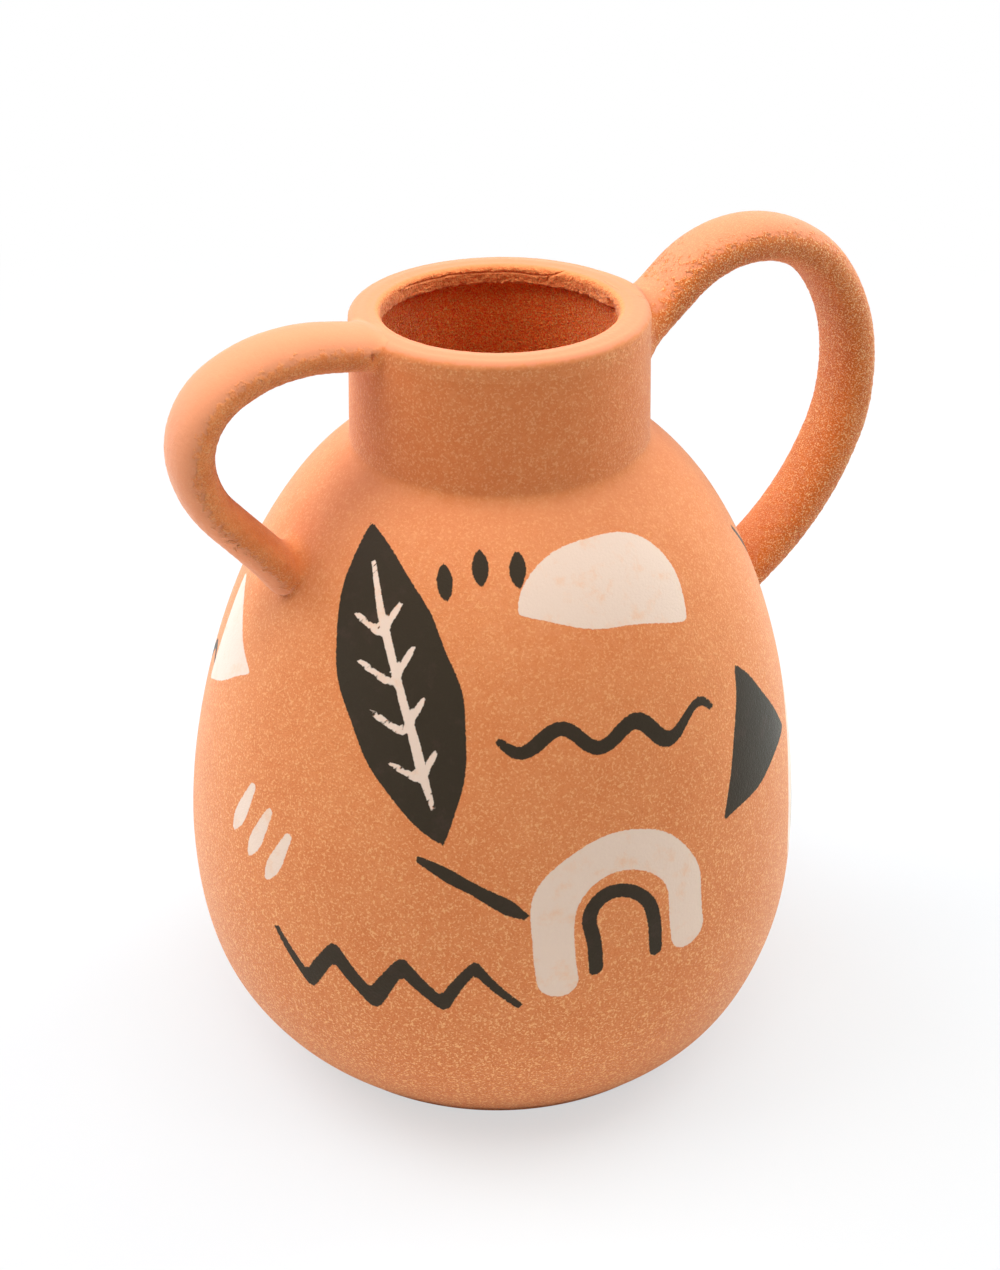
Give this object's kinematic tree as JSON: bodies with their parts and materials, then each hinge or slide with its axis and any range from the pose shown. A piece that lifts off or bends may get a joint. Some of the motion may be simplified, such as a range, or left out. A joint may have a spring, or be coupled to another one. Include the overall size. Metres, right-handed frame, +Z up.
{
  "type": "pitcher",
  "caption": "Matt terracotta pitcher with an egg-shaped body, straight neck, thick flat lip, one small handle and one tall handle.",
  "frame": {"origin": "centre of the foot, on the surface the pitcher stands on", "axes": "+Z up along the axis of the body, +X towards the tall handle, -X towards the small handle"},
  "size_m": [0.2279, 0.19, 0.2472],
  "materials": {
    "terracotta": "matt, sanded engobe with fine pale grit",
    "painted_terracotta": "matt, sanded engobe, brushed with charcoal and cream slip"
  },
  "bodies": {
    "root": {"base_slab": "terracotta", "base_luting": "terracotta", "body_wall": "painted_terracotta", "neck_luting": "terracotta", "neck_collar": "terracotta", "rim_roll": "terracotta", "small_handle": "terracotta", "small_handle_upper_luting": "terracotta", "small_handle_lower_luting": "terracotta", "large_handle": "terracotta", "large_handle_upper_luting": "terracotta", "large_handle_lower_luting": "terracotta"}
  },
  "joints": []
}
